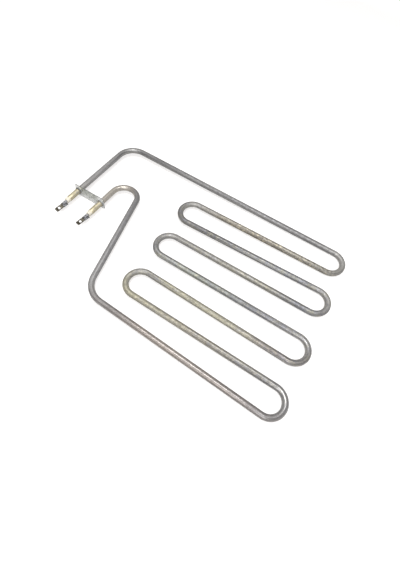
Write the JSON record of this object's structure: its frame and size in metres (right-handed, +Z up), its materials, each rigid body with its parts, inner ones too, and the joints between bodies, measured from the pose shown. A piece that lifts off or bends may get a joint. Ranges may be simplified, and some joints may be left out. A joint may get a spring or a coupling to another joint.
{
  "type": "tubular heating element",
  "caption": "Flat serpentine tubular heating element with both sheathed ends passing through a small flange to push-on blade terminals.",
  "frame": {"origin": "middle of the flange, on the face that seats against the appliance wall", "axes": "+X along the serpentine's runs, +Y from the terminals into the appliance, +Z up out of the serpentine's plane"},
  "size_m": [0.4164, 0.2763, 0.0198],
  "materials": {
    "sheath": "heat-tinted stainless steel, grey to brown and straw",
    "winding": "resistance wire",
    "powder": "pressed magnesium oxide",
    "pin": "drawn steel",
    "seal": "cured silicone resin",
    "bush": "unglazed steatite",
    "blade": "plated steel darkened by welding heat",
    "plate": "bright rolled stainless steel",
    "braze": "oxidised braze"
  },
  "bodies": {
    "root": {"sheath_tube": "sheath", "heating_coil": "winding", "magnesia_fill": "powder", "mounting_flange": "plate", "terminal_pin_1": "pin", "terminal_pin_2": "pin", "tab_terminal_1": "blade", "tab_terminal_2": "blade", "end_seal_1": "seal", "end_seal_2": "seal", "ceramic_bush_1": "bush", "ceramic_bush_2": "bush", "braze_ring_1": "braze", "braze_ring_2": "braze"}
  },
  "joints": []
}
